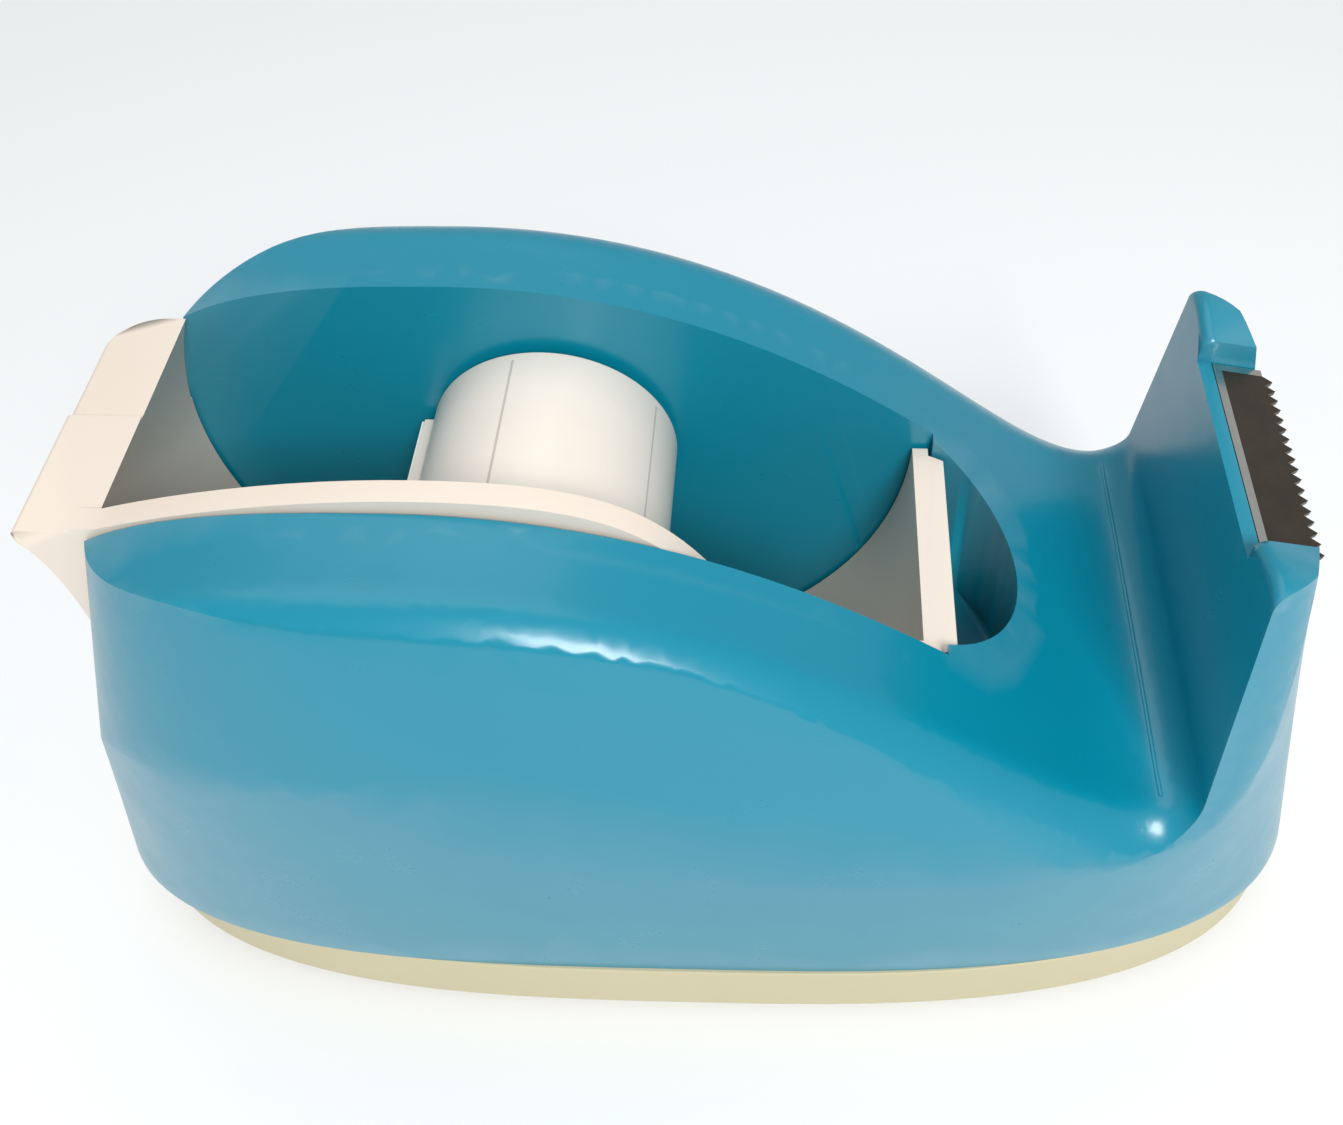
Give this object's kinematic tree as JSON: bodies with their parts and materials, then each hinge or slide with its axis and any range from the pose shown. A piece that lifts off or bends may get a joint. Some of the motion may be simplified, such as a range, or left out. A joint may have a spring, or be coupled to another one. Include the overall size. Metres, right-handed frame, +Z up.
{
  "type": "tape dispenser",
  "caption": "Weighted desk tape dispenser with a lift-out cradle, a turning hub for the roll and a toothed cutter on the nose.",
  "frame": {"origin": "on the table under the middle of the body", "axes": "+X from the rear tab towards the cutter, +Y away from the cradle's side wall, +Z up"},
  "size_m": [0.1348, 0.058, 0.0691],
  "materials": {
    "case": "glossy teal moulding",
    "base": "satin cream moulding",
    "cradle": "cream moulding",
    "hub": "cream moulding",
    "blade": "dark steel",
    "carrier": "bright steel",
    "axle": "plain steel",
    "fasteners": "plain steel",
    "weights": "rough cast",
    "feet": "matt rubber"
  },
  "bodies": {
    "body": {"shell": "case", "base_plate": "base", "base_screws": "fasteners", "foot_front_near": "feet", "foot_front_far": "feet", "foot_rear_near": "feet", "foot_rear_far": "feet", "front_weight": "weights", "side_weight_near": "weights", "side_weight_far": "weights", "weight_screws": "fasteners", "blade_carrier": "carrier", "cutter_blade": "blade"},
    "cradle": {"cradle": "cradle", "hub_axle": "axle", "hub_washer": "axle", "hub_retainer": "axle"},
    "hub": {"hub_drum": "hub"}
  },
  "joints": [
    {"name": "cradle_lift", "type": "slide", "parent": "body", "child": "cradle", "axis": [0, 0, 1], "range_m": [0, 0.06]},
    {"name": "hub_spin", "type": "hinge", "parent": "cradle", "child": "hub", "pos_m": [-0.0152, 0, 0.0485], "axis": [0, 1, 0], "continuous": true}
  ]
}
